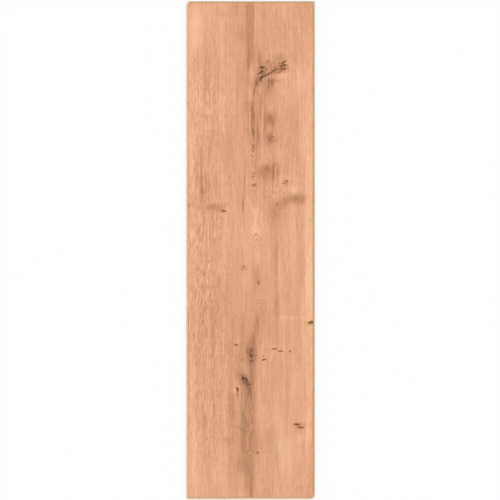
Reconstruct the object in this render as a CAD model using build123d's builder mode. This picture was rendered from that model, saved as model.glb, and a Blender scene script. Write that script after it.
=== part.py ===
from build123d import *
import math
import os

# Laminate floor plank: one pressed wood-fibre board with a printed oak face, square unbevelled face
# edges and a click joint milled along all four sides. Millimetres. X runs across the plank, Y along
# it and Z up from the underside. The origin is on the underside, below the middle of the face.

# Board
face_width = 327.0
face_length = 1291.0
thickness = 8.0

# Click joint. Distances are measured from the joint plane, which stands under the edge of the face,
# and heights from the underside. A neighbour angles in about the top edge of that plane.
seat_gap = 0.10  # play between the locked boards
nose_gap = 0.4  # room left beyond the tongue's nose
ridge_gap = 0.15  # room left above the locking ridge
lip_gap = 0.3  # room left beyond the lower lip
tongue_reach = 3.6
tongue_top = 5.2
tongue_nose_radius = 0.5
belly_radius = 5.4  # underside of the tongue, centred on the top edge of the joint
heel_radius = 5.7  # the tongue's heel stands lower and snaps in behind the ridge, same centre
heel_inner = 0.9  # distance inside the joint plane at which the heel begins
lip_reach = 3.9  # how far the lower lip stands out past the face
lip_chamfer = 0.4
ridge_top = 3.0  # height of the locking ridge on the lower lip
ridge_inner = 2.1
ridge_outer = 3.2
ridge_nose_drop = 0.7
closing_land = 1.6  # height of the faces that close tight below the printed face
lip_relief = 0.2  # the upper lip steps back by this below its closing land
groove_end_radius = 0.5
recess_lean = 0.3  # slope of the outer wall of the locking recess
milling_allowance = 8.0  # how far the blank runs past the face on every side

# Worked out from the joint's driving sizes
dish_radius = heel_radius + seat_gap
groove_depth = tongue_reach + nose_gap
groove_ceiling = tongue_top + seat_gap
recess_ceiling = ridge_top + ridge_gap
recess_width = lip_reach + lip_gap
ridge_slope_rise = ridge_top - ridge_inner
tongue_slope_rise = ridge_slope_rise + math.sqrt(2) * seat_gap
blank_width = face_width + 2 * milling_allowance
blank_length = face_length + 2 * milling_allowance


def circle_height(radius, distance):
    """Height of the lower half of a circle about the joint's top edge, at a distance from it."""
    return thickness - math.sqrt(radius**2 - distance**2)


def slope_foot(radius, rise):
    """Distance at which the 45 degree line, height = distance + rise, leaves that same circle."""
    drop = thickness - rise
    return (drop - math.sqrt(2 * radius**2 - drop**2)) / 2


def click_outline(span):
    """Outline of the board cut across two joint planes: tongue on the left, groove on the right."""
    left = -span / 2
    right = span / 2
    heel_end = slope_foot(heel_radius, tongue_slope_rise)
    ridge_foot = slope_foot(dish_radius, ridge_slope_rise)
    belly_angle = 180 + math.degrees(math.acos(tongue_reach / belly_radius))
    with BuildLine() as outline:
        tongue_upper = Polyline(
            (left, thickness),
            (left, tongue_top),
            (left - tongue_reach + tongue_nose_radius, tongue_top),
        )
        nose = JernArc(tongue_upper @ 1, (-1, 0), tongue_nose_radius, 90)
        Line(nose @ 1, (left - tongue_reach, circle_height(belly_radius, tongue_reach)))
        belly = CenterArc(
            (left, thickness), belly_radius, belly_angle, 270 - belly_angle
        )
        underside = Polyline(
            belly @ 1,
            (left + heel_inner, circle_height(heel_radius, heel_inner)),
            (left + heel_end, heel_end + tongue_slope_rise),
            (left + recess_ceiling - tongue_slope_rise, recess_ceiling),
            (left + recess_width, recess_ceiling),
            (left + recess_width + recess_lean, 0),
            (right + lip_reach - lip_chamfer, 0),
            (right + lip_reach, lip_chamfer),
            (right + lip_reach, ridge_top - ridge_nose_drop),
            (right + ridge_outer, ridge_top),
            (right + ridge_inner, ridge_top),
            (right + ridge_foot, ridge_foot + ridge_slope_rise),
        )
        dish = ThreePointArc(
            underside @ 1,
            (right, thickness - dish_radius),
            (right - groove_depth, circle_height(dish_radius, groove_depth)),
        )
        groove_end = Line(
            dish @ 1, (right - groove_depth, groove_ceiling - groove_end_radius)
        )
        groove_round = JernArc(groove_end @ 1, (0, 1), groove_end_radius, -90)
        Polyline(
            groove_round @ 1,
            (right - lip_relief, groove_ceiling),
            (right, thickness - closing_land),
            (right, thickness),
            (left, thickness),
        )
    return outline.line


def trim_corner(x_range, y_range):
    """Saws off what stands over a rectangle in plan, through the whole thickness."""
    size_x = x_range[1] - x_range[0]
    size_y = y_range[1] - y_range[0]
    with Locations((sum(x_range) / 2, sum(y_range) / 2, thickness / 2)):
        Box(size_x, size_y, 2 * thickness, mode=Mode.SUBTRACT)


with BuildPart() as plank:
    # The long sides are milled along the whole blank, then the ends are milled across it.
    with BuildSketch(Plane.XZ):
        add(click_outline(face_width))
        make_face()
    extrude(amount=blank_length / 2, both=True)
    with BuildSketch(Plane.YZ):
        add(click_outline(face_length))
        make_face()
    extrude(amount=blank_width / 2, both=True, mode=Mode.INTERSECT)

    # Where a tongue meets the other side's lip the two millings leave only loose slivers.
    trim_corner(
        (-blank_width / 2, -face_width / 2),
        (face_length / 2 - groove_depth, blank_length / 2),
    )
    trim_corner(
        (-face_width / 2, -face_width / 2 + recess_width),
        (face_length / 2, blank_length / 2),
    )
    trim_corner(
        (face_width / 2, blank_width / 2),
        (-blank_length / 2, -face_length / 2 + recess_width),
    )
    trim_corner(
        (face_width / 2 - groove_depth, face_width / 2),
        (-blank_length / 2, -face_length / 2),
    )

plank.part.label = "plank"
os.makedirs("parts", exist_ok=True)
export_step(plank.part, "parts/plank.step")
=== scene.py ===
import math

import bmesh
import bpy
import numpy as np
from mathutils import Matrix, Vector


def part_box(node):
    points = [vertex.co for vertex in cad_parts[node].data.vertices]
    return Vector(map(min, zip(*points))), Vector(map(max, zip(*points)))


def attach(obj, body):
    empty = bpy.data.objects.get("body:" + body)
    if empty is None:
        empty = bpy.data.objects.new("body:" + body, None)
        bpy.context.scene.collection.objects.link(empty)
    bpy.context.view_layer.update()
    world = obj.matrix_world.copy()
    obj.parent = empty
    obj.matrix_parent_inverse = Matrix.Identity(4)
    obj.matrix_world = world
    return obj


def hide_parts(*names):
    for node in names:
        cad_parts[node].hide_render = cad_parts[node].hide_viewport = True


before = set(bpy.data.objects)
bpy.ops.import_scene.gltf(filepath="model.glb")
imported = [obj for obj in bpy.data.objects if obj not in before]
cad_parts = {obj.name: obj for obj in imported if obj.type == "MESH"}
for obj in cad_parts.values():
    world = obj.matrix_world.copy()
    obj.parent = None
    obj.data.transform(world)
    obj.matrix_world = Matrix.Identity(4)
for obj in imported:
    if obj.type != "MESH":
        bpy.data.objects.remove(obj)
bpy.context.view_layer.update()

# The plank is one board: printed oak paper under a clear matt wear layer, pressed with wood fibre and
# a backing paper into one 8 mm sheet, then sawn and milled along all four sides. The press embosses
# the print: growth rings lie a few hundredths of a millimetre deep, and cracks up to two tenths.

MM = 0.001
FACE_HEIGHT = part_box("plank")[1].z
FACE_WIDTH = 327 * MM
FACE_LENGTH = 1291 * MM

# The saw ran close to the heart of the log. These follow the heart's line along the face, as places
# along and across it, and how deep below the face the heart lies there. All are in millimetres.
HEART_LINE = (
    (-650, 0), (-540, 0), (-500, -2), (-440, 5), (-360, 6), (-300, 3), (-265, 2), (-217, 7),
    (-172, 17), (-130, 21), (-60, 21), (50, 17), (150, 11), (200, 7), (330, 7), (460, 4), (540, 0),
    (650, 1),
)
HEART_DEPTH = (
    (-650, 2), (-600, 3), (-540, 7), (-500, 9), (-440, 3), (-360, 1), (-265, 1), (-172, 2),
    (-130, 5), (-70, 9), (-40, 3), (0, 4), (70, 25), (110, 19), (160, 13), (200, 8), (270, 2),
    (390, 1), (440, 4), (468, 7), (500, 1), (650, 1),
)
# The rings follow the heart's line within about the first distance of it, and show as lines within
# the second.
HEART_REACH = 30
HEART_WIDTH = 17
# Knots that the grain bends round: place across, place along, and radius, in millimetres.
KNOTS = (
    (28, 464, 5), (87, 480, 5), (2, -268, 6), (-11, -343, 7), (60, 294, 6), (-70, 101, 3),
    (-34, -364, 4), (93, 180, 3), (-18, -43, 4), (40, 213, 6), (34, -280, 2), (62, -257, 2),
    (120, -454, 3), (156, -189, 3), (19, -528, 2), (-39, -246, 2), (118, 133, 6),
)
# A knot pushes the grain this many times as far along the board as across it.
KNOT_STRETCH = 2.6
# The grain also sways a little: by how much, and the length along and across the board for each
# radian of the wave. A line along the face is rounded off over these distances before and behind.
SWAY = 0.7
SWAY_ALONG = 83
SWAY_ACROSS = 140
ROUND_OFF = range(-20, 21, 5)


def along_face(places, y):
    """A value along the face: straight lines between the given places, and then at each place the
    mean of the values before and behind it."""
    where, value = (np.array(column, float) for column in zip(*places))
    return sum(np.interp(y + shift, where, value) for shift in ROUND_OFF) / len(ROUND_OFF)


def grain_flow(x, y):
    """Place across the grain: the place across the board plus a slow sine. Each knot pushes the grain
    lines aside as a post pushes a stream: the distance from its middle shrinks by itself times the
    radius squared over the sum of the distance squared and the radius squared."""
    across = x + SWAY * np.sin(y / SWAY_ALONG + x / SWAY_ACROSS)
    for knot_x, knot_y, radius in KNOTS:
        aside = x - knot_x
        apart = aside**2 + ((y - knot_y) / KNOT_STRETCH) ** 2
        across = across - aside * radius**2 / (apart + radius**2)
    return across


def growth_ring(x, y):
    """Distance from the heart of the log: the root of the squared place across the grain plus the
    squared depth of the heart. The place is measured from the heart's line near it, and runs straight
    again further out."""
    flow = grain_flow(x, y)
    heart = along_face(HEART_LINE, y)
    nearness = np.exp(-(((flow - heart) / HEART_REACH) ** 2))
    return np.sqrt((flow - heart * nearness) ** 2 + along_face(HEART_DEPTH, y) ** 2)


# Marks in the oak: name, place across and along, half width and half length before turning, the turn
# against the clock in degrees, and strength. Places and sizes are millimetres from the face's middle.
# A strength of 1 goes from the palest tone of the oak to the darkest. Each list runs along the board
# from its +Y end. Cracks are crisp, and stains and pale marks are soft.
CRACKS = (
    ("upper_toe", 87, 490, 2.0, 6.8, -56, 0.51),
    ("toe_crumb", 73, 486, 2.2, 2.0, 0, 0.16),
    ("middle_toe", 89.3, 481.8, 4.8, 2.4, -4, 0.54),
    ("toe_root", 80.8, 479, 3.2, 3.6, 20, 0.33),
    ("upper_core", 29.8, 476, 5.9, 2.9, 5, 0.48),
    ("lower_toe", 89, 471.8, 4.4, 2.1, 0, 0.42),
    ("lower_toe_root", 80.5, 471, 5, 1.4, 0, 0.3),
    ("crack_crumb", 41, 470, 2.2, 2.4, 30, 0.2),
    ("long_crack_end", 61.5, 467.5, 2.2, 8.5, -62, 0.35),
    ("slanting_core_head", 30.5, 465.5, 2.5, 2.3, 0, 0.39),
    ("second_crack", 74, 463.2, 1.3, 9, -72, 0.22),
    ("slanting_core", 26.8, 462.3, 2.0, 7.2, -57, 0.53),
    ("long_crack", 50, 460, 1.4, 16.8, -63.5, 0.43),
    ("lower_core", 28.2, 449.6, 3.2, 5.9, -62, 0.43),
    ("lower_core_foot", 26.6, 443.6, 2.9, 3.6, 10, 0.43),
    ("heart_tip", 7.2, 308, 2.4, 10.5, 0, 0.22),
    ("swirl_core", 58, 294.5, 2.8, 2.2, 0, 0.24),
    ("swirl_foot", 61, 283.5, 7, 1.6, 0, 0.13),
    ("heart_chevron", 7.2, 267.5, 2.8, 6.5, 0, 0.24),
    ("heart_blob", 7.8, 192, 4.2, 2.6, 0, 0.16),
    ("upper_spot", 93.2, 179, 4.6, 2.9, 0, 0.3),
    ("spot_tail", 85.5, 173.6, 6.4, 1.6, 4, 0.23),
    ("heart_blob_low", 10, 169.5, 5.4, 3.0, 0, 0.12),
    ("feather_root", 69.4, 120.4, 3.0, 5, 0, 0.14),
    ("under_feather", 78, 108.4, 2.4, 2.4, 0, 0.14),
    ("left_knot", -70, 101.5, 5.6, 2.8, -12, 0.44),
    ("speck_one", -17.5, -43, 2.6, 2.4, 0, 0.24),
    ("speck_three", -21, -51, 1.8, 2.0, 0, 0.16),
    ("speck_two", -12, -51, 1.6, 1.8, 0, 0.20),
    ("soft_heart_knot", 20.8, -86, 2.8, 4.2, 0, 0.22),
    ("edge_wedge", 159, -188.5, 7.4, 3.4, 8, 0.57),
    ("eye_dash_left", -37.8, -247, 4.3, 1.7, -10, 0.48),
    ("eye_crumb", 5.4, -257, 1.7, 2.6, 10, 0.12),
    ("dash_one", 62.3, -257.3, 6.6, 1.9, 5, 0.47),
    ("eye_core", 2.8, -262, 2.6, 4.6, 0, 0.17),
    ("dash_two", 77.7, -263.5, 6.8, 1.6, -3, 0.47),
    ("dot_right", 102.8, -264, 2.6, 2.5, 0, 0.38),
    ("eye_crumb_left", -3.0, -268, 1.5, 3.6, -8, 0.12),
    ("eye_core_low", 1.8, -274, 3.8, 4.8, 0, 0.25),
    ("dot_by_eye", 33.1, -276.5, 1.9, 2.2, 0, 0.38),
    ("dash_by_eye", 35, -285.6, 4.6, 1.9, 8, 0.58),
    ("dot_left_of_eye", -21.4, -286, 2.8, 2.4, -30, 0.24),
    ("eye_foot", 2.4, -288.8, 4.4, 2.8, 0, 0.28),
    ("tilted_core_top", -21.5, -326.4, 3.4, 1.8, -8, 0.3),
    ("tilted_core", -18.9, -334.2, 3.4, 5.2, 6, 0.5),
    ("tilted_streak", -10.4, -336.4, 2.0, 4.6, 18, 0.34),
    ("tilted_crumb", -23.8, -337.4, 1.5, 2.2, 0, 0.2),
    ("tilted_side", -17.6, -345.5, 2.6, 2.2, 0, 0.28),
    ("tilted_foot", -2.8, -350.4, 4.2, 2.1, -6, 0.33),
    ("pin_knot_arm", -37, -358.4, 3.4, 1.4, -24, 0.26),
    ("tilted_drip", -3.8, -361, 1.9, 6, 0, 0.14),
    ("pin_knot", -33.4, -364, 2.7, 5.0, 4, 0.6),
    ("pin_knot_tail", -33.8, -376, 2.2, 7.5, 0, 0.22),
    ("low_dash_one", 120, -454.5, 6.6, 2.2, 0, 0.54),
    ("low_dash_two", 131, -462.5, 7.8, 2.5, -4, 0.46),
    ("low_swirl_rim", -7, -526, 2.0, 3.4, 20, 0.14),
    ("low_dot", 19, -528.5, 2.8, 2.8, 0, 0.33),
    ("low_swirl_foot", -1, -536, 3.4, 1.6, 0, 0.14),
)
STAINS = (
    ("top_heart_side", -34, 620, 20, 60, 0, 0.01),
    ("top_heart_edge", 5, 615, 4.0, 40, 0, 0.03),
    ("top_heart", -2, 612, 10.5, 56, 0, 0.13),
    ("top_right_wash", 74, 580, 11, 60, 0, 0.045),
    ("thread_grey", -23, 560, 14, 22, 0, 0.06),
    ("heart_thread", -2.2, 540, 2.6, 20, 0, 0.05),
    ("heart_zone_top", 4, 525, 17, 44, 0, 0.07),
    ("above_toes", 76, 502, 17, 10, 0, 0.1),
    ("heart_to_crack", 2, 500, 6, 24, 0, 0.04),
    ("right_lead", 24.5, 498, 4.4, 20, 0, 0.14),
    ("above_crack_spot", 46, 491.5, 6, 4.5, 0, 0.12),
    ("over_crack_thread", 59, 487, 3.0, 20, -60, 0.07),
    ("heart_thread_side", -5, 486, 5.0, 38, 0, 0.09),
    ("haze_right", 80, 475, 13.5, 14, 10, 0.19),
    ("haze_middle", 54, 467, 24, 15, 24, 0.145),
    ("haze_left", 29, 461, 11, 20, 0, 0.15),
    ("under_crack_line", 62, 441, 20, 4, 0, 0.12),
    ("under_crack_left", -6, 440, 20, 56, 0, 0.04),
    ("crack_tail_haze", 18.5, 437, 6.5, 9, 0, 0.15),
    ("under_crack_two", 56.6, 436, 2.9, 10, 0, 0.17),
    ("under_crack_one", 47.2, 431, 3.4, 16, 0, 0.17),
    ("crack_tail", 13.5, 430, 3.6, 15, -12, 0.2),
    ("around_crack", 48, 424, 26, 36, 0, 0.04),
    ("upper_left_thread", -118, 420, 5.5, 70, 0, 0.07),
    ("under_crack_wash", 50, 418, 16, 28, 0, 0.05),
    ("tail_fork_left", 9.2, 409, 2.2, 11, -4, 0.16),
    ("tail_fork_right", 17.6, 409, 2.0, 11, 12, 0.1),
    ("beside_spindle_high", 28, 389, 4, 18, 0, 0.06),
    ("spindle_top", 5.0, 374, 3.2, 16, 0, 0.12),
    ("left_spindle_wash", -9, 372, 9, 22, 0, 0.09),
    ("beside_spindle", 25.6, 356, 2.3, 28, 0, 0.14),
    ("left_edge_shade", -148, 350, 14, 34, 0, 0.045),
    ("right_upper_wash", 113, 350, 15, 60, 0, 0.05),
    ("blotch_head", 47, 348, 5, 10, 0, 0.08),
    ("spindle_left", 2.4, 346, 1.9, 42, 0, 0.08),
    ("spindle", 6.6, 343, 5.0, 44, 0, 0.22),
    ("beside_spindle_left", -4.9, 341, 2.0, 26, 0, 0.09),
    ("blotch", 53, 339, 13, 16, 0, 0.13),
    ("spindle_right", 11.0, 338, 1.7, 36, 0, 0.08),
    ("blotch_streak", 58, 332, 3.0, 14, 0, 0.08),
    ("spindle_red_band", 18.6, 330, 4.2, 50, 0, 0.1),
    ("blotch_side", 38, 330, 5.5, 56, 0, 0.1),
    ("left_of_spindle", -10, 320, 8, 30, 0, 0.04),
    ("spindle_foot", -3, 298, 5, 22, 0, 0.06),
    ("swirl", 58, 293, 13, 12, 0, 0.11),
    ("beside_spindle_low", 20, 290, 9, 30, 0, 0.07),
    ("swirl_wash", 49, 289, 6.5, 16, 0, 0.14),
    ("chevron_wash", 8, 280, 8, 30, 0, 0.07),
    ("upper_right_shade", 116, 280, 12, 60, 0, 0.03),
    ("heart_grey", 7, 235, 12, 42, 0, 0.07),
    ("brown_area_far", 62, 222, 6, 8, 0, 0.05),
    ("brown_area_head", 41.5, 215, 8, 8, 0, 0.14),
    ("left_thread", -129, 211, 3.2, 40, 0, 0.07),
    ("brown_area_right", 71, 205, 4.5, 17, 0, 0.11),
    ("brown_area_streak", 60, 204, 3.0, 24, 0, 0.17),
    ("brown_area_left", 25, 203, 6.5, 14, 0, 0.04),
    ("heart_arc_one", 8, 201, 9, 3.5, 20, 0.08),
    ("brown_area", 42, 200, 19, 22, 0, 0.14),
    ("left_upper_wash", -85, 190, 45, 90, 0, 0.04),
    ("left_thread_three", -139, 186, 2.6, 48, 0, 0.05),
    ("heart_arc_two", 4, 186, 8, 3, -24, 0.07),
    ("long_thread", -15.5, 176, 1.7, 36, -1, 0.15),
    ("heart_arc_three", 10, 169, 11, 4, 8, 0.11),
    ("left_thread_two", -116, 160, 3.0, 60, 0, 0.05),
    ("heart_arc_four", 7, 155, 7, 2.6, 0, 0.06),
    ("left_thread_low", -127, 152, 4.2, 36, 0, 0.075),
    ("feather_wash", 48, 140, 15, 38, 0, 0.05),
    ("smudge_dark", 110, 133, 12, 8, 0, 0.08),
    ("smudge", 118, 133, 22, 13, 0, 0.14),
    ("smudge_end", 136, 131, 5, 12, 0, 0.08),
    ("smudge_tail", 84, 121, 15, 10, 12, 0.13),
    ("long_thread_low", -19.2, 116, 1.6, 20, 1, 0.24),
    ("left_knot_band", -95, 112, 28, 9, 0, 0.12),
    ("left_knot_lead", -80, 104, 6, 4, 0, 0.08),
    ("under_smudge", 66, 96, 16, 24, 0, 0.09),
    ("right_red", 66, -12, 5.5, 54, 0, 0.09),
    ("speck_wash", -15, -46, 10, 8, 0, 0.07),
    ("soft_heart", 17, -65, 12, 30, 0, 0.07),
    ("soft_heart_core", 20.8, -84, 3.0, 12, 0, 0.08),
    ("soft_heart_low", 18, -116, 22, 62, 0, 0.065),
    ("left_middle_wash", -95, -120, 40, 80, 0, 0.045),
    ("right_red_low", 68, -143, 8, 44, 0, 0.075),
    ("right_of_spike", 36, -185, 24, 44, 0, 0.05),
    ("wedge_shade", 152, -193, 9, 6, 0, 0.10),
    ("spike_right", 20, -195, 2.6, 22, 6, 0.04),
    ("spike_left", 11, -200, 3.4, 34, -9, 0.03),
    ("left_low_streak", -98, -205, 8, 44, 0, 0.05),
    ("spike", 11.5, -206, 8, 42, -8, 0.12),
    ("around_eye", -24, -230, 34, 100, 0, 0.065),
    ("right_mid_shade", 67, -232, 8, 30, 0, 0.065),
    ("above_eye", 6, -234, 7.5, 22, -6, 0.08),
    ("right_above_eye", 24, -236, 7, 16, 0, 0.045),
    ("eye_left_rim", -8.2, -262, 1.7, 12, 0, 0.09),
    ("eye_core_dark", 2.2, -268, 5.4, 13, 0, 0.12),
    ("eye_right_rim", 13.5, -268, 2.2, 13, 0, 0.18),
    ("eye_wash", 2.4, -271, 11.5, 26, 0, 0.24),
    ("eye_tail", 2.4, -310, 8.5, 24, 0, 0.13),
    ("left_of_knots", -46, -316, 14, 30, 0, 0.03),
    ("left_of_tilted", -33, -322, 6, 12, 0, 0.08),
    ("eye_right_tail", 11.6, -326, 2.3, 40, 0, 0.06),
    ("tilted_haze", -11.5, -344, 12.5, 21, 24, 0.23),
    ("beside_tilted", 4, -344, 3.6, 22, 0, 0.09),
    ("tilted_tail", -2, -374, 7, 22, 8, 0.06),
    ("grey_band_top", -10, -378, 10, 16, 0, 0.06),
    ("low_heart_wash", 5, -392, 9.5, 76, 0, 0.11),
    ("heart_red_right", 8.8, -402, 2.6, 50, -2, 0.08),
    ("low_heart_thread", 3.5, -408, 3.0, 22, 0, 0.09),
    ("grey_band_edge", -23.5, -412, 2.6, 46, 0, 0.05),
    ("left_of_grey_band", -50, -414, 9.5, 42, 0, 0.12),
    ("grey_band", -15, -418, 11, 62, 0, 0.15),
    ("low_left_streak", -95, -442, 3.0, 44, 0, 0.04),
    ("low_left_grey", -120, -448, 4.2, 30, 0, 0.10),
    ("heart_red_left", 0, -452, 2.0, 52, 0, 0.04),
    ("heart_red_inner", 4, -452, 5.5, 40, 0, 0.035),
    ("low_dash_halo", 134, -455, 10, 5, 0, 0.09),
    ("low_dash_wash", 124, -462, 13, 16, 0, 0.07),
    ("slanting_streak", -28.8, -464, 2.8, 20, 66, 0.1),
    ("soft_left_spot", -57, -496, 12, 9, 0, 0.06),
    ("low_right_wash", 46, -498, 22, 38, 0, 0.08),
    ("wide_heart_low", -4, -500, 20, 60, 0, 0.07),
    ("low_left_wash", -36, -505, 22, 50, 0, 0.04),
    ("grey_band_foot", -19.5, -510, 4, 26, 0, 0.08),
    ("low_right_streak", 67, -546, 8, 30, 0, 0.045),
    ("low_heart_side", -15, -560, 5, 26, 0, 0.04),
    ("low_left_shade", -28, -562, 12, 26, 0, 0.08),
    ("bottom_heart_wash", -4, -568, 13, 66, 0, 0.07),
    ("bottom_heart_edge", 12, -592, 1.6, 46, 1, 0.03),
    ("bottom_heart_left", -11, -600, 6.5, 54, 0, 0.07),
    ("bottom_heart_side", -7, -600, 1.8, 40, 0, 0.04),
    ("bottom_heart", 3, -600, 8.6, 62, 0, 0.12),
    ("bottom_thread", 1.5, -634, 3.2, 26, 0, 0.1),
)
PALE_MARKS = (
    ("left_edge_top", -142, 590, 16, 70, 0, 0.13),
    ("top_left_field", -115, 590, 30, 56, 0, 0.05),
    ("left_edge_high", -148, 530, 16, 30, 0, 0.035),
    ("above_long_crack", 47, 467.5, 1.8, 11, -66, 0.14),
    ("between_cracks", 39, 467, 7, 4, 0, 0.06),
    ("heart_diamond", 3.6, 466, 6.2, 15, 0, 0.13),
    ("core_gap", 26.4, 456.6, 3.6, 2.0, 20, 0.26),
    ("under_toes", 84, 456, 16, 9, 0, 0.10),
    ("beside_toes", 132, 455, 20, 34, 0, 0.05),
    ("under_long_crack", 46, 449, 2.6, 11, -68, 0.16),
    ("core_gap_right", 34.5, 445.5, 3.6, 2.6, 0, 0.16),
    ("right_side", 96, 420, 40, 60, 0, 0.04),
    ("pale_thread_top", -1, 413, 3, 26, 0, 0.12),
    ("upper_left_lane", -78, 370, 34, 56, 0, 0.045),
    ("beside_pale", 31.5, 335, 2.0, 40, 0, 0.07),
    ("spindle_core", 7.2, 332, 1.1, 16, 0, 0.07),
    ("left_edge", -152, 330, 12, 240, 0, 0.07),
    ("right_edge", 152, 330, 12, 190, 0, 0.08),
    ("upper_lane", -68, 325, 10, 20, 0, 0.045),
    ("swirl_eye", 62.5, 299, 4.6, 1.8, 0, 0.15),
    ("swirl_loop", 62, 288.5, 4.6, 1.6, 0, 0.12),
    ("left_lane_high", -96, 212, 24, 40, 0, 0.08),
    ("left_border_high", -138, 190, 20, 60, 0, 0.04),
    ("spot_halo", 97, 187, 12, 5, 0, 0.08),
    ("right_lane", 77, 180, 9, 140, 0, 0.035),
    ("thread_lane", -10, 170, 9, 100, 0, 0.035),
    ("under_spot", 110, 160, 26, 9, 0, 0.06),
    ("brown_area_side", 28, 156, 5, 24, 0, 0.05),
    ("smudge_above", 120, 152, 24, 6, 0, 0.02),
    ("left_knot_lane", -100, 134, 12, 24, 0, 0.05),
    ("right_upper_lane", 112, 130, 11, 110, 0, 0.03),
    ("left_lane", -72, 120, 14, 230, 0, 0.055),
    ("left_knot_halo", -62, 109, 9, 5, 0, 0.07),
    ("arch_field", 14, 60, 26, 54, 0, 0.07),
    ("right_field", 114, 40, 11, 160, 0, 0.035),
    ("left_lane_low", -88, -40, 32, 40, 0, 0.065),
    ("right_edge_low", 150, -60, 14, 190, 0, 0.06),
    ("right_border", 152, -110, 14, 400, 0, 0.04),
    ("left_low_lane", -84, -128, 14, 34, 0, 0.055),
    ("over_wedge", 110, -176, 38, 4, 0, 0.08),
    ("left_border", -152, -230, 12, 200, 0, 0.04),
    ("left_above_eye", -32, -236, 9, 12, 0, 0.05),
    ("above_eye_lane", 5.4, -239, 2.0, 15, -6, 0.17),
    ("dash_left_halo", -40, -240, 6, 2.4, 0, 0.08),
    ("dash_one_halo", 62, -252, 8, 2.6, 0, 0.08),
    ("dot_halo", 33, -281, 3.4, 1.8, 0, 0.14),
    ("eye_loop", 1.2, -284.0, 2.6, 1.5, 0, 0.52),
    ("tilted_gap_right", -4.6, -336, 1.9, 5, 24, 0.07),
    ("left_edge_middle", -156, -340, 9, 60, 0, 0.05),
    ("tilted_gap", -12.5, -344.5, 3.6, 3.0, 20, 0.12),
    ("right_low_lane", 124, -345, 14, 90, 0, 0.035),
    ("pin_knot_halo_right", -28, -359, 3, 6, 0, 0.10),
    ("pin_knot_halo", -43, -364.5, 5, 4.4, 0, 0.15),
    ("grey_band_gap", -17, -398, 5, 26, 0, 0.06),
    ("low_right", 60, -470, 30, 60, 0, 0.03),
    ("right_border_low", 150, -470, 12, 50, 0, 0.05),
    ("heart_side_lane", -5, -512, 2, 16, 0, 0.14),
    ("low_swirl", -3, -530, 3.2, 3, 0, 0.2),
    ("yellow_patch", 90, -555, 11, 44, 0, 0.06),
    ("left_edge_low", -146, -560, 18, 90, 0, 0.08),
    ("bottom_left", -80, -590, 24, 60, 0, 0.04),
)
# Knots whose own rings show as dark and pale bands.
EYES = (
    ("swirl", 59.5, 294, 13, 12.5, 0, 0.07),
    ("heart_eye", 9, 184, 12, 32, 0, 0.05),
    ("middle_eye", 2.4, -271, 10.5, 25, 0, 0.04),
)
# Sets of fine nested lines: the area they cover, the millimetres from line to line, how steeply the
# lines run off to both sides, downwards if positive, and how widely their tips are rounded. Then fans
# of lines from one root: the area, the root, and the degrees from line to line.
NESTED_LINES = (
    (("chevrons", 7, 258, 7, 30, 0, 0.11), 14, -1.6, 4.5),
    (("heart_arcs", 6, 180, 10, 26, 0, 0.08), 9, -0.9, 4.5),
    (("arches", 15.5, 34, 17, 32, 0, 0.075), 14, 1.9, 6.5),
    (("scallops", 22, -36, 9, 46, 0, 0.045), 8.4, 0.6, 4.5),
    (("low_scallops", 21, -128, 9, 34, 0, 0.045), 9, 0.7, 4.5),
    (("low_chevrons", 1.6, -428, 6.5, 62, 0, 0.085), 57, -10, 1.2),
)
FANS = (
    (("feathers", 52, 146, 18, 28, 0, 0.10), (104, 56), 4.1),
    (("right_feathers", 86, 142, 12, 16, 0, 0.09), (60, 100), 9),
)
# Where the fine grain is livelier than elsewhere, or calmer if negative, where the wood is redder, or
# greyer if negative, and where the grain is curly.
LIVELY_GRAIN = (
    ("top_left_calm", -140, 620, 40, 40, 0, -0.55),
    ("right_top", 110, 590, 34, 60, 0, 0.3),
    ("heart_top", 12, 510, 18, 36, 0, 0.5),
    ("crack_surround", 60, 475, 45, 34, 0, 0.7),
    ("upper_left_field", -128, 380, 40, 80, 0, 0.35),
    ("left_of_heart_calm", -52, 322, 18, 60, 0, -0.35),
    ("feather_field", 55, 150, 34, 40, 0, 0.3),
    ("left_field", -124, -20, 50, 500, 0, 1.15),
    ("heart_line", 4, -50, 12, 560, 0, -0.3),
    ("left_curls", -128, -140, 34, 110, 0, 0.4),
    ("left_edge_calm", -150, -150, 15, 170, 0, -0.45),
    ("right_low_calm", 128, -320, 16, 44, 0, -0.3),
    ("low_left_field", -62, -350, 24, 130, 0, 0.5),
    ("low_right_calm", 98, -470, 26, 110, 0, -0.4),
    ("bottom_left_calm", -125, -618, 60, 44, 0, -0.5),
)
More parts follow.
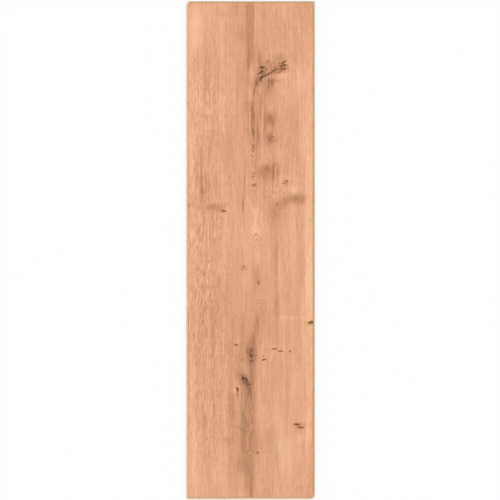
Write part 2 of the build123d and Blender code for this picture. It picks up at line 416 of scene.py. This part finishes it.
WARMTH = (
    ("top_heart", 2, 610, 12, 50, 0, 0.3),
    ("top_right", 84, 610, 14, 44, 0, -0.7),
    ("cluster_cores", 28, 461, 8, 20, 0, -1.5),
    ("under_crack", 52, 434, 14, 20, 0, 0.9),
    ("crack_tail", 12, 424, 6, 14, 0, 0.8),
    ("spindle_head", 4, 382, 9, 16, 0, 1.0),
    ("left_of_spindle", -10, 374, 9, 18, 0, 0.8),
    ("blotch", 48, 340, 20, 30, 0, 0.6),
    ("chevrons", 4, 262, 12, 30, 0, -0.5),
    ("brown_area", 38, 208, 18, 14, 0, 0.7),
    ("smudge", 113, 134, 14, 9, 0, -0.7),
    ("smudge_end", 134, 128, 7, 12, 0, 0.6),
    ("arch_head", 17, 62, 12, 16, 0, -0.7),
    ("right_red", 66, -12, 9, 60, 0, 0.9),
    ("right_border", 158, -160, 12, 420, 0, -0.6),
    ("spike_foot", 6, -238, 9, 22, 0, 1.0),
    ("eye_grey", 2.4, -268, 8, 18, 0, -1.0),
    ("tilted_haze", -11, -344, 14, 22, 24, -1.1),
    ("heart_red", 5, -350, 8, 90, 0, 1.1),
    ("left_of_grey_band", -50, -414, 12, 44, 0, -0.3),
    ("grey_band", -16, -414, 12, 60, 0, -1.2),
    ("low_chevrons", 4, -455, 7, 44, 0, 0.8),
    ("yellow_patch", 86, -545, 18, 60, 0, -1.2),
    ("bottom_heart", -3, -585, 16, 60, 0, -0.7),
    ("bottom_red", 2, -628, 8, 24, 0, 1.0),
)
CURLS = (
    ("left_knot_curl", -110, 130, 26, 46, 0, 0.5),
    ("left_curl_high", -130, -60, 22, 50, 0, 0.7),
    ("left_curl", -135, -190, 24, 90, 0, 1.0),
    ("left_curl_low", -138, -330, 18, 60, 0, 1.0),
)


def mark_reach(mark, x, y):
    """Distance from a mark's middle in units of its half sizes, after turning it back."""
    _, middle_x, middle_y, half_width, half_length, turn, _ = mark
    cosine, sine = math.cos(math.radians(turn)), math.sin(math.radians(turn))
    right, up = x - middle_x, y - middle_y
    return np.hypot(
        (right * cosine + up * sine) / half_width, (up * cosine - right * sine) / half_length
    )


def soft_cover(marks, x, y):
    """How strongly a list of marks covers a place: the sum of each strength times e to the power of
    minus the squared reach."""
    return sum(mark[-1] * np.exp(-mark_reach(mark, x, y) ** 2) for mark in marks)


def nested_phase(x, y):
    """Which line of its set a place is on, counted from the set's middle, and how strongly the set
    covers it. Nested lines are hyperbolas: their height falls by steepness times the root of the
    squared distance aside plus the rounding squared. The lines of a fan turn round its root."""
    turns, covers = [], []
    for mark, spacing, steepness, rounding in NESTED_LINES:
        _, middle_x, middle_y, *_ = mark
        turns.append((y - middle_y + steepness * np.hypot(x - middle_x, rounding)) / spacing)
        covers.append(soft_cover([mark], x, y))
    for mark, (root_x, root_y), spacing in FANS:
        turns.append(np.degrees(np.arctan2(x - root_x, y - root_y)) / spacing)
        covers.append(soft_cover([mark], x, y))
    strongest = np.argmax(covers, axis=0)
    return np.choose(strongest, turns), np.choose(strongest, covers)


EYE_RIM = 6  # how sharply a knot's rings stop at its rim


def eye_rings(x, y):
    """Reach from the nearest knot with rings of its own, and the strength of the rings there: each
    strength times e to the power of minus the reach to the sixth."""
    reaches = [mark_reach(eye, x, y) for eye in EYES]
    strength = sum(eye[-1] * np.exp(-(reach**EYE_RIM)) for eye, reach in zip(EYES, reaches))
    return np.minimum.reduce(reaches), strength


# The press's embossing: how deep it goes, the waves of the growth rings in radians to the millimetre,
# how far a crack's bowl spreads past its mark, and the border in millimetres where all of it fades.
RING_RELIEF = 0.03 * MM
CRACK_RELIEF = 0.30 * MM
NARROW_WAVE = 1.9
NARROW_WAVE_SLANT = 0.02
BROAD_WAVE = 0.83
BROAD_WAVE_START = 0.7
BOWL_SPREAD = 1.6
PLAIN_BORDER = 3


def embossed_depth(x, y):
    """Depth of the embossing. Shallow waves follow the growth rings: a half, plus a quarter of a
    narrow sine and a quarter of a broad one. Each crack lies in a smooth bowl, one minus the squared
    reach over the bowl's spread. The deeper of the two holds, and it fades towards the edges."""
    ring = growth_ring(x, y)
    narrow = np.sin(ring * NARROW_WAVE + NARROW_WAVE_SLANT * y)
    broad = np.sin(ring * BROAD_WAVE + BROAD_WAVE_START)
    depth = RING_RELIEF * (0.5 + 0.25 * narrow + 0.25 * broad)
    for mark in CRACKS:
        bowl = np.clip(1 - mark_reach(mark, x, y) ** 2 / BOWL_SPREAD, 0, 1)
        depth = np.maximum(depth, CRACK_RELIEF * mark[-1] * bowl)
    to_edge = np.minimum(FACE_WIDTH / 2 / MM - np.abs(x), FACE_LENGTH / 2 / MM - np.abs(y))
    return depth * np.clip(to_edge / PLAIN_BORDER, 0, 1)


# The embossed face is a grid of squares. A face of the board is level when its normal is nearly
# upright. Corners of the solid closer than the first distance are one, and so are the rims of the
# board and of the grid within the second. The sides and the underside have materials of their own.
COLUMNS = 300
ROWS = 320
LEVEL = 0.99
SAME_CORNER = 0.001 * MM
SAME_RIM = 0.02 * MM
SIDES = 1
UNDERSIDE = 2


def milled_board():
    """A merged copy of the milled board without its flat face. The rim left open is divided into the
    same columns and rows as the embossed face that goes on it."""
    board = bmesh.new()
    board.from_mesh(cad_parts["plank"].data)
    bmesh.ops.remove_doubles(board, verts=board.verts, dist=SAME_CORNER)
    top = [
        face for face in board.faces
        if face.normal.z > LEVEL and face.calc_center_median().z > FACE_HEIGHT - SAME_RIM
    ]
    bmesh.ops.delete(board, geom=top, context="FACES_KEEP_BOUNDARY")
    for edge in [edge for edge in board.edges if edge.is_boundary]:
        run = edge.verts[1].co - edge.verts[0].co
        cuts = (COLUMNS if abs(run.x) > abs(run.y) else ROWS) - 1
        bmesh.ops.subdivide_edges(board, edges=[edge], cuts=cuts)
    for face in board.faces:
        on_floor = face.normal.z < -LEVEL and face.calc_center_median().z < SAME_RIM
        face.material_index = UNDERSIDE if on_floor else SIDES
    return board


def embossed_face():
    """The face as a grid of squares, each corner let down from the flat by the embossing's depth."""
    across = np.linspace(-FACE_WIDTH / 2, FACE_WIDTH / 2, COLUMNS + 1)
    along = np.linspace(-FACE_LENGTH / 2, FACE_LENGTH / 2, ROWS + 1)
    y, x = np.meshgrid(along, across, indexing="ij")
    corners = np.stack([x, y, FACE_HEIGHT - embossed_depth(x / MM, y / MM)], -1).reshape(-1, 3)
    first = np.arange(ROWS)[:, None] * (COLUMNS + 1) + np.arange(COLUMNS)
    squares = np.stack([first, first + 1, first + COLUMNS + 2, first + COLUMNS + 1], -1)
    mesh = bpy.data.meshes.new("plank_face")
    mesh.from_pydata(corners, [], squares.reshape(-1, 4).tolist())
    return mesh


whole = milled_board()
whole.from_mesh(embossed_face())
bmesh.ops.remove_doubles(whole, verts=whole.verts, dist=SAME_RIM)
plank_mesh = bpy.data.meshes.new("oak_plank")
whole.to_mesh(plank_mesh)
whole.free()
plank = bpy.data.objects.new("oak_plank", plank_mesh)
bpy.context.scene.collection.objects.link(plank)

# What the print follows is kept in the mesh as one value for each corner. Fine grain is this lively
# where no area says otherwise.
PLAIN_LIVELINESS = 0.7
places = np.empty(len(plank_mesh.vertices) * 3, np.float32)
plank_mesh.vertices.foreach_get("co", places)
place_x, place_y = places[0::3] / MM, places[1::3] / MM
nested_turns, nested_cover = nested_phase(place_x, place_y)
eye_reach, eye_strength = eye_rings(place_x, place_y)
patterns = {
    "grain_flow": grain_flow(place_x, place_y) * MM,
    "growth_ring": growth_ring(place_x, place_y) * MM,
    "heart_nearness": np.exp(-(((place_x - along_face(HEART_LINE, place_y)) / HEART_WIDTH) ** 2)),
    "stain": soft_cover(STAINS, place_x, place_y),
    "pale": soft_cover(PALE_MARKS, place_x, place_y),
    "curl": soft_cover(CURLS, place_x, place_y),
    "warmth": soft_cover(WARMTH, place_x, place_y),
    "liveliness": PLAIN_LIVELINESS + soft_cover(LIVELY_GRAIN, place_x, place_y),
    "nested_turns": nested_turns,
    "nested_cover": nested_cover,
    "eye_reach": eye_reach,
    "eye_strength": eye_strength,
}
for name, value in patterns.items():
    attribute = plank_mesh.attributes.new(name, "FLOAT", "POINT")
    attribute.data.foreach_set("value", value.astype(np.float32))


# The printed oak: growth rings, streaks and pores along the grain, then the stains, pale places, knots
# and cracks of this board. They add up to one tone, from the darkest brown to the palest.

OAK_TONES = (
    (0.0, (92, 50, 22)), (0.367, (150, 100, 69)), (0.567, (181, 124, 90)), (0.70, (202, 143, 105)),
    (0.833, (222, 162, 123)), (1.0, (247, 190, 151)),
)
BODY_TONE = 0.85

# Layers of grain. Each is noise with so many waves to the metre across and along the board, some
# finer detail, and the range of it that shows. The first layers run along the grain, and the others
# with the growth rings.
FLOW_LAYERS = {
    "clouds": (18, 5, 3, 0.25, 0.75),
    "line_shift": (95, 8, 1, 0.25, 0.75),
    "line_patches": (60, 10, 1, 0.3, 0.7),
    "warm_patches": (60, 9, 2, 0.3, 0.7),
    "fine_streaks": (460, 36, 3, 0.3, 0.7),
    "crisp_lines": (280, 30, 1, 0.38, 0.62),
    "hair": (1500, 60, 2, 0.3, 0.7),
    "long_lines": (310, 3.5, 1, 0.58, 0.68),
    "flecks": (400, 74, 2, 0.55, 0.75),
    "pores": (540, 56, 2, 0.54, 0.70),
    "fine_pores": (1900, 150, 2, 0.56, 0.70),
}
RING_LAYERS = {
    "bands": (80, 4, 1, 0.25, 0.75),
    "streaks": (200, 9, 2, 0.3, 0.7),
    "ring_lines": (420, 2.5, 3, 0.3, 0.7),
}
# How far the layers move the tone: both ways about their middle, then one way only.
BROAD_SWINGS = {"clouds": 0.08, "bands": 0.052, "streaks": 0.03}
FINE_SWINGS = {"fine_streaks": 0.076, "hair": 0.06, "crisp_lines": 0.046}
FINE_SHARES = {"long_lines": -0.04, "flecks": 0.095, "pores": -0.125, "fine_pores": -0.05}
# Faint lines run through the whole board, so many to the metre, and more of them near the heart.
LINE_COUNT = 98
LINE_SHADE = 0.05
RING_SHADE = 0.12
# How unevenly nested lines and the rings of knots are drawn, and how many bands a knot has.
NESTED_UNEVEN = 0.5
EYE_UNEVEN = 2.6
EYE_BANDS = 2
# A stain is this strong at its weakest, and gains this much along the fine streaks.
STAIN_LEAST = 0.8
STAIN_GAIN = 1.5


def srgb(red, green, blue):
    """A colour as a screen shows it, 0 to 255, as the linear values that shaders use."""
    share = np.array([red, green, blue]) / 255
    linear = np.where(share > 0.04045, ((share + 0.055) / 1.055) ** 2.4, share / 12.92)
    return (*linear.tolist(), 1.0)


def add_node(tree, kind, inputs=(), **settings):
    """Adds a shader node, sets its settings, and gives each input a value or a link."""
    node = tree.nodes.new("ShaderNode" + kind)
    for name, value in settings.items():
        setattr(node, name, value)
    for name, value in dict(inputs).items():
        if isinstance(value, bpy.types.NodeSocket):
            tree.links.new(value, node.inputs[name])
        else:
            node.inputs[name].default_value = value
    return node


def calculate(tree, operation, *values):
    """One Math node on the given values or sockets."""
    return add_node(tree, "Math", dict(enumerate(values)), operation=operation).outputs[0]


def combine(tree, operation, *places):
    """One Vector Math node on the given places or colours."""
    return add_node(tree, "VectorMath", dict(enumerate(places)), operation=operation).outputs[0]


def split(tree, place):
    """The numbers X, Y and Z of a place."""
    return add_node(tree, "SeparateXYZ", {0: place}).outputs


def join(tree, x, y, z):
    """A place, or a colour, from three numbers."""
    return add_node(tree, "CombineXYZ", {"X": x, "Y": y, "Z": z}).outputs[0]


def cut_range(tree, value, low, high, start=0.0, end=1.0):
    """Takes a value from one range to another with soft ends, and holds it there."""
    limits = {"Value": value, "From Min": low, "From Max": high, "To Min": start, "To Max": end}
    return add_node(tree, "MapRange", limits, interpolation_type="SMOOTHSTEP").outputs[0]


def tone_ramp(tree, tone, tones):
    """A colour ramp from a list of places on it and their screen colours."""
    node = add_node(tree, "ValToRGB", {0: tone})
    stops = node.color_ramp.elements
    stops[0].color, stops[1].color = srgb(*tones[0][1]), srgb(*tones[-1][1])
    for step, colour in tones[1:-1]:
        stops.new(step).color = srgb(*colour)
    return node.outputs[0]


def new_group(name, inputs, outputs):
    """A shader group with named sockets. Gives its tree, what comes in and what goes out."""
    tree = bpy.data.node_groups.new(name, "ShaderNodeTree")
    for socket, (kind, value) in inputs.items():
        made = tree.interface.new_socket(socket, in_out="INPUT", socket_type="NodeSocket" + kind)
        made.default_value = value
    for socket, kind in outputs.items():
        tree.interface.new_socket(socket, in_out="OUTPUT", socket_type="NodeSocket" + kind)
    return tree, tree.nodes.new("NodeGroupInput").outputs, tree.nodes.new("NodeGroupOutput").inputs


# Stretched noise for grain, pores and fibres: noise of a size across and along, cut to a range.
GRAIN_FINENESS = 0.6
grain_group, came, gone = new_group(
    "stretched_grain",
    {"Vector": ("Vector", (0, 0, 0)), "Across": ("Float", 100.0), "Along": ("Float", 10.0),
     "Upright": ("Float", 1.0), "Detail": ("Float", 2.0), "From": ("Float", 0.3), "To": ("Float", 0.7)},
    {"Mask": "Float"},
)
counts = join(grain_group, came["Across"], came["Along"], came["Upright"])
noise = add_node(grain_group, "TexNoise", {
    "Vector": combine(grain_group, "MULTIPLY", came["Vector"], counts), "Scale": 1.0,
    "Detail": came["Detail"], "Roughness": GRAIN_FINENESS,
})
mask = cut_range(grain_group, noise.outputs[0], came["From"], came["To"])
grain_group.links.new(mask, gone["Mask"])

# One crisp mark in the print: an ellipse, placed, turned and sized, which starts to fade inside its
# rim and ends outside it. The place carries the strongest mark so far as its third number, so that
# marks follow each other in a row.
MARK_FADES = 0.6
MARK_ENDS = 1.7
FLATTEN = (1, 1, 0)
mark_group, came, gone = new_group(
    "oak_mark",
    {"Place": ("Vector", (0, 0, 0)), "Middle": ("Vector", (0, 0, 0)), "Turn": ("Vector", (0, 0, 0)),
     "Size": ("Vector", (1, 1, 1)), "Strength": ("Float", 1.0)},
    {"Place": "Vector"},
)
ellipse = add_node(mark_group, "Mapping", {
    "Vector": came["Place"], "Location": came["Middle"], "Rotation": came["Turn"],
    "Scale": came["Size"],
}, vector_type="TEXTURE")
ellipse = combine(mark_group, "MULTIPLY", ellipse.outputs[0], FLATTEN)
reach = add_node(mark_group, "VectorMath", {0: ellipse}, operation="LENGTH").outputs["Value"]
fall = cut_range(mark_group, reach, MARK_FADES, MARK_ENDS, came["Strength"], 0.0)
so_far = split(mark_group, came["Place"])
strongest = calculate(mark_group, "MAXIMUM", so_far["Z"], fall)
mark_group.links.new(join(mark_group, so_far["X"], so_far["Y"], strongest), gone["Place"])


def new_material(name):
    """A node material with its Principled shader. Gives the material, its tree and the shader."""
    material = bpy.data.materials.new(name)
    material.use_nodes = True
    return material, material.node_tree, material.node_tree.nodes["Principled BSDF"]


def grain(tree, place, across, along, detail, low, high, upright=1.0):
    """A layer of grain, from fine to broad by its waves to the metre."""
    return add_node(tree, "Group", {
        "Vector": place, "Across": across, "Along": along, "Upright": upright, "Detail": detail,
        "From": low, "To": high,
    }, node_tree=grain_group).outputs["Mask"]


def swing(tree, value, mask, amount):
    """Moves a value up or down by an amount times a mask that goes from 0 to 1, about its middle."""
    from_middle = calculate(tree, "SUBTRACT", mask, 0.5)
    return calculate(tree, "ADD", value, calculate(tree, "MULTIPLY", from_middle, amount))


def add_shares(tree, value, layers, shares):
    """Adds layers of grain to a value, each times its share."""
    for name, share in shares.items():
        value = calculate(tree, "MULTIPLY_ADD", layers[name], share, value)
    return value


def finish_surface(tree, shader, colour, roughness, height, strength, depth, shine):
    """Links a surface's colour and roughness to its shader, and its height as bump."""
    bump = add_node(tree, "Bump", {"Strength": strength, "Distance": depth, "Height": height})
    tree.links.new(colour, shader.inputs["Base Color"])
    tree.links.new(roughness, shader.inputs["Roughness"])
    tree.links.new(bump.outputs["Normal"], shader.inputs["Normal"])
    shader.inputs["Specular IOR Level"].default_value = shine


oak, tree, shader = new_material("printed_oak")
coordinates = add_node(tree, "TexCoord").outputs["Object"]
board_place = split(tree, coordinates)
pattern = {name: add_node(tree, "Attribute", attribute_name=name).outputs["Fac"] for name in patterns}

# Curly grain sways to and fro by a few millimetres. The rings' noise is taken from another level, so
# that it differs from the grain's.
CURL_REACH = 12 * MM
CURL_NOISE = (45, 30, 1, 0.2, 0.8)
RING_LEVEL = 0.37
curl = swing(tree, 0.0, grain(tree, coordinates, *CURL_NOISE), pattern["curl"])
flow = calculate(tree, "MULTIPLY_ADD", curl, CURL_REACH, pattern["grain_flow"])
ring = calculate(tree, "MULTIPLY_ADD", curl, CURL_REACH, pattern["growth_ring"])
flow_place = join(tree, flow, board_place["Y"], 0.0)
ring_place = join(tree, ring, board_place["Y"], RING_LEVEL)
layers = {name: grain(tree, flow_place, *noise) for name, noise in FLOW_LAYERS.items()}
layers |= {name: grain(tree, ring_place, *noise) for name, noise in RING_LAYERS.items()}

tone = BODY_TONE
for name, amount in BROAD_SWINGS.items():
    tone = swing(tree, tone, layers[name], amount)

# The fine grain: faint wavy lines that come and go, then streaks, hairs, flecks and pores.
line_turns = swing(tree, calculate(tree, "MULTIPLY", flow, LINE_COUNT), layers["line_shift"], 1.0)
lines = calculate(tree, "SINE", calculate(tree, "MULTIPLY", line_turns, 2 * math.pi))
lines = calculate(tree, "MULTIPLY", lines, layers["line_patches"])
fine = calculate(tree, "MULTIPLY", lines, LINE_SHADE)
for name, amount in FINE_SWINGS.items():
    fine = swing(tree, fine, layers[name], amount)
fine = add_shares(tree, fine, layers, FINE_SHARES)
tone = calculate(tree, "MULTIPLY_ADD", fine, pattern["liveliness"], tone)

# Lines of the growth rings close to the heart.
ring_shade = calculate(tree, "MULTIPLY", pattern["heart_nearness"], RING_SHADE)
tone = swing(tree, tone, layers["ring_lines"], ring_shade)

# Nested lines and fans, a little uneven.
nested = swing(tree, pattern["nested_turns"], layers["streaks"], NESTED_UNEVEN)
nested = calculate(tree, "COSINE", calculate(tree, "MULTIPLY", nested, 2 * math.pi))
tone = calculate(tree, "MULTIPLY_ADD", nested, pattern["nested_cover"], tone)

# Rings of the knots: bands of dark and pale, from the middle to the rim.
eye_shift = swing(tree, 0.0, layers["streaks"], EYE_UNEVEN)
eye = calculate(tree, "MULTIPLY_ADD", pattern["eye_reach"], EYE_BANDS * 2 * math.pi, eye_shift)
eye = calculate(tree, "MULTIPLY", calculate(tree, "COSINE", eye), pattern["eye_strength"])
tone = calculate(tree, "SUBTRACT", tone, eye)

# Soft stains are streaky, because they follow the fibres.
streaky = calculate(tree, "MULTIPLY_ADD", layers["fine_streaks"], STAIN_GAIN, STAIN_LEAST)
tone = calculate(tree, "SUBTRACT", tone, calculate(tree, "MULTIPLY", pattern["stain"], streaky))
tone = calculate(tree, "ADD", tone, pattern["pale"])

# The cracks and crisp marks, with a ragged outline: noise moves each place by about a millimetre.
RAGGED_COUNT = 300
RAGGED_REACH = (4 * MM, 5 * MM, 0)
ragged = add_node(tree, "TexNoise", {"Vector": coordinates, "Scale": RAGGED_COUNT, "Detail": 2.0})
ragged = combine(tree, "SUBTRACT", ragged.outputs["Color"], (0.5, 0.5, 0.5))
ragged = combine(tree, "ADD", combine(tree, "MULTIPLY", ragged, RAGGED_REACH), coordinates)
place = combine(tree, "MULTIPLY", ragged, FLATTEN)
for _, x, y, half_width, half_length, turn, strength in CRACKS:
    place = add_node(tree, "Group", {
        "Place": place, "Middle": (x * MM, y * MM, 0), "Turn": (0, 0, math.radians(turn)),
        "Size": (half_width * MM, half_length * MM, 1), "Strength": strength,
    }, node_tree=mark_group).outputs["Place"]
crack = split(tree, place)["Z"]
tone = calculate(tree, "SUBTRACT", tone, crack)

# The edges of the face are eased, and the colour along them is painted darker and greyer: painted shade
# and a painted greyish sheen where the eased edge turns away from the light.
RIM_START = 1.0 * MM
RIM_END = 3.4 * MM
EDGE_PAINTED_SHADE = 0.15
EDGE_PAINTED_SHEEN = 3.0
to_side = calculate(tree, "SUBTRACT", FACE_WIDTH / 2, calculate(tree, "ABSOLUTE", board_place["X"]))
to_end = calculate(tree, "SUBTRACT", FACE_LENGTH / 2, calculate(tree, "ABSOLUTE", board_place["Y"]))
to_edge = calculate(tree, "MINIMUM", to_side, to_end)
rim = cut_range(tree, to_edge, RIM_START, RIM_END, 1.0, 0.0)
# Painted shade: the tone is darkened along the eased edge.
tone = calculate(tree, "MULTIPLY_ADD", rim, -EDGE_PAINTED_SHADE, tone)

# How much green, then blue, a crack and warm wood take out of the colour.
TINTS = ((0.12, 0.05), (0.5, 0.07))
WARM_UNEVEN = 0.8
warmth = swing(tree, pattern["warmth"], layers["warm_patches"], WARM_UNEVEN)
# Painted sheen: along the eased edge the colour is greyed, as if it reflected the white surround.
warmth = calculate(tree, "MULTIPLY_ADD", rim, -EDGE_PAINTED_SHEEN, warmth)
tint = [1.0]
for crack_loss, warm_loss in TINTS:
    left = calculate(tree, "MULTIPLY_ADD", crack, -crack_loss, 1.0)
    tint.append(calculate(tree, "MULTIPLY_ADD", warmth, -warm_loss, left))
printed = combine(tree, "MULTIPLY", tone_ramp(tree, tone, OAK_TONES), join(tree, *tint))

# The wear layer is matt. The press sinks the pores, the cracks and the eased edge into it, and leaves
# the pores a little rougher than the flats between them.
EMBOSSING_STRENGTH = 1.0
PORE_DEPTH = 0.05 * MM
# How far the layers of grain, a crack and the eased edge raise or sink it, as shares of that depth.
EMBOSSING = {"fine_streaks": 0.5, "hair": 0.3, "pores": -1.0, "fine_pores": -0.4}
CRACK_SINK = 2.0
EDGE_SINK = 2.0
WEAR_ROUGHNESS = (0.46, 0.62)
WEAR_SHINE = 0.2
eased = cut_range(tree, to_edge, 0.0, RIM_START, 1.0, 0.0)
relief = add_shares(tree, 0.0, layers, EMBOSSING)
relief = calculate(tree, "MULTIPLY_ADD", crack, -CRACK_SINK, relief)
relief = calculate(tree, "MULTIPLY_ADD", eased, -EDGE_SINK, relief)
sunk = calculate(tree, "MAXIMUM", layers["pores"], layers["fine_pores"])
roughness = cut_range(tree, sunk, 0.0, 1.0, *WEAR_ROUGHNESS)
finish_surface(
    tree, shader, printed, roughness, relief, EMBOSSING_STRENGTH, PORE_DEPTH, WEAR_SHINE
)

# The sawn and milled edge shows the board's make: pale brown wood fibre, pressed denser and darker
# towards both faces, with the printed paper as a thin line along the top and the backing along the
# bottom. The milling cutters leave faint lines along the joint.
FIBRE_TONES = ((0.0, (188, 158, 124)), (0.5, (226, 202, 168)), (1.0, (242, 224, 196)))
FIBRE_TONE = 0.56
PRINT_LINE = srgb(156, 112, 80)
BACKING_LINE = srgb(150, 122, 92)
PRINT_THICKNESS = 0.22 * MM
BACKING_THICKNESS = 0.16 * MM
LINE_FADE = 0.04 * MM
# Layers of fibre, as for the oak and with the waves to the metre upwards last: fine speckle, larger
# chips, and the cutters' lines.
SPECKLE = (900, 900, 4, 0.3, 0.7, 1800)
CHIPS = (160, 160, 2, 0.6, 0.75, 900)
CUTTER_LINES = (6, 6, 2, 0.35, 0.65, 3200)
SPECKLE_SWING = 0.34
CUTTER_SWING = 0.16
CHIP_SHADE = 0.22
DENSE_SHADE = 0.16
# Where the fibre gets denser, as shares of the board's height from its middle.
DENSE_FROM = 0.2
DENSE_TO = 0.5
FUZZ_STRENGTH = 0.8
FUZZ_DEPTH = 0.06 * MM
FUZZ_CUTTER_SWING = 0.8
FIBRE_ROUGHNESS = (0.92, 0.78)
FIBRE_SHINE = 0.15


def blend(tree, mask, first, second):
    """Goes from the first colour to the second as a mask goes from 0 to 1."""
    return add_node(tree, "MixRGB", {"Fac": mask, "Color1": first, "Color2": second}).outputs[0]


core, tree, shader = new_material("pressed_fibre")
coordinates = add_node(tree, "TexCoord").outputs["Object"]
height = split(tree, coordinates)["Z"]
speckle = grain(tree, coordinates, *SPECKLE)
cutter_lines = grain(tree, coordinates, *CUTTER_LINES)
off_middle = calculate(tree, "ABSOLUTE", calculate(tree, "SUBTRACT", height, FACE_HEIGHT / 2))
density = cut_range(tree, off_middle, DENSE_FROM * FACE_HEIGHT, DENSE_TO * FACE_HEIGHT)
tone = swing(tree, FIBRE_TONE, speckle, SPECKLE_SWING)
tone = swing(tree, tone, cutter_lines, CUTTER_SWING)
tone = calculate(tree, "MULTIPLY_ADD", grain(tree, coordinates, *CHIPS), -CHIP_SHADE, tone)
tone = calculate(tree, "MULTIPLY_ADD", density, -DENSE_SHADE, tone)
print_start = FACE_HEIGHT - PRINT_THICKNESS
in_print = cut_range(tree, height, print_start - LINE_FADE, print_start)
in_backing = cut_range(tree, height, BACKING_THICKNESS, BACKING_THICKNESS + LINE_FADE, 1.0, 0.0)
fibre = blend(tree, in_print, tone_ramp(tree, tone, FIBRE_TONES), PRINT_LINE)
fibre = blend(tree, in_backing, fibre, BACKING_LINE)
fuzz = swing(tree, speckle, cutter_lines, FUZZ_CUTTER_SWING)
roughness = cut_range(tree, speckle, 0.0, 1.0, *FIBRE_ROUGHNESS)
finish_surface(tree, shader, fibre, roughness, fuzz, FUZZ_STRENGTH, FUZZ_DEPTH, FIBRE_SHINE)

# The underside: a plain kraft paper soaked in resin, pressed on to keep the board flat. Its fibres
# show as fine flecks, and the resin as faint clouds.
BACKING_TONES = ((0.0, (168, 138, 104)), (0.5, (198, 170, 134)), (1.0, (214, 190, 156)))
BACKING_TONE = 0.55
RESIN = (14, 9, 3, 0.3, 0.7)
PAPER = (420, 300, 4, 0.3, 0.7)
PAPER_FIBRES = (900, 110, 3, 0.6, 0.72)
RESIN_SWING = 0.3
PAPER_SWING = 0.4
PAPER_FIBRE_SHADE = 0.2
PAPER_STRENGTH = 0.6
PAPER_DEPTH = 0.04 * MM
PAPER_ROUGHNESS = (0.58, 0.74)
PAPER_SHINE = 0.3
backing, tree, shader = new_material("backing_paper")
coordinates = add_node(tree, "TexCoord").outputs["Object"]
resin = grain(tree, coordinates, *RESIN)
paper = grain(tree, coordinates, *PAPER)
tone = swing(tree, BACKING_TONE, resin, RESIN_SWING)
tone = swing(tree, tone, paper, PAPER_SWING)
paper_fibres = grain(tree, coordinates, *PAPER_FIBRES)
tone = calculate(tree, "MULTIPLY_ADD", paper_fibres, -PAPER_FIBRE_SHADE, tone)
paper_colour = tone_ramp(tree, tone, BACKING_TONES)
roughness = cut_range(tree, resin, 0.0, 1.0, *PAPER_ROUGHNESS)
finish_surface(tree, shader, paper_colour, roughness, paper, PAPER_STRENGTH, PAPER_DEPTH, PAPER_SHINE)

for material in (oak, core, backing):
    plank_mesh.materials.append(material)
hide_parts("plank")
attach(plank, "root")

# The floor, the light and the camera: a plain white floor under the plank, an even white surround, one
# large soft lamp from the upper left, and a long lens that looks straight down on the face.
FLOOR_HALF = 6.0
FLOOR_GAP = 0.2 * MM
FLOOR_TONE = 0.7  # of the light that it throws back on the plank
floor_mesh = bpy.data.meshes.new("pale_floor")
floor_mesh.from_pydata(
    [(x * FLOOR_HALF, y * FLOOR_HALF, -FLOOR_GAP) for x, y in ((-1, -1), (1, -1), (1, 1), (-1, 1))],
    [], [(0, 1, 2, 3)],
)
floor = bpy.data.objects.new("pale_floor", floor_mesh)
bpy.context.scene.collection.objects.link(floor)


def white_when_seen(tree, plain):
    """A plain level for the light that falls on the plank, and white for what the camera, a mirror or
    a clear piece shows."""
    rays = add_node(tree, "LightPath").outputs
    seen = calculate(tree, "MAXIMUM", rays["Is Camera Ray"], rays["Is Glossy Ray"])
    seen = calculate(tree, "MAXIMUM", seen, rays["Is Transmission Ray"])
    return add_node(tree, "MapRange", {"Value": seen, "To Min": plain, "To Max": 1.0}).outputs[0]


floor_paint, tree, shader = new_material("floor_paint")
tree.links.new(white_when_seen(tree, FLOOR_TONE), shader.inputs["Base Color"])
shader.inputs["Roughness"].default_value = 1.0
shader.inputs["Specular IOR Level"].default_value = 0.0
floor_mesh.materials.append(floor_paint)

# The surround lights the plank with this share of white.
SURROUND = 0.62
surround = bpy.data.worlds.new("surround")
bpy.context.scene.world = surround
surround.use_nodes = True
background = surround.node_tree.nodes["Background"].inputs
strength = white_when_seen(surround.node_tree, SURROUND)
surround.node_tree.links.new(strength, background["Strength"])
background["Color"].default_value = (1, 1, 1, 1)

# The lamp gives a level face the light that the surround leaves out, so that a colour renders about
# as it is written.
LAMP_SLANT = math.radians(16)
LAMP_TURN = math.radians(40)
LAMP_SPREAD = math.radians(50)
lamp_light = bpy.data.lights.new("soft_lamp", "SUN")
lamp_light.angle = LAMP_SPREAD
lamp_light.energy = (1 - SURROUND) * math.pi / math.cos(LAMP_SLANT)
lamp = bpy.data.objects.new("soft_lamp", lamp_light)
lamp.rotation_euler = (0, -LAMP_SLANT, -LAMP_TURN)
bpy.context.scene.collection.objects.link(lamp)

# The picture is square, and the plank's length fills all but a few of its pixels. The plank's middle
# stands half a pixel to the right of the picture's.
LENS = 150.0
SENSOR = 36.0
PICTURE_SIDE = 500
PLANK_PIXELS = 495.4
PIXEL = FACE_LENGTH / PLANK_PIXELS
camera_data = bpy.data.cameras.new("camera")
camera_data.lens = LENS
camera_data.sensor_width = SENSOR
camera = bpy.data.objects.new("camera", camera_data)
camera.location = (-0.5 * PIXEL, 0, FACE_HEIGHT + PICTURE_SIDE * PIXEL * LENS / SENSOR)
bpy.context.scene.collection.objects.link(camera)
bpy.context.scene.camera = camera
bpy.context.scene.view_settings.view_transform = "Standard"
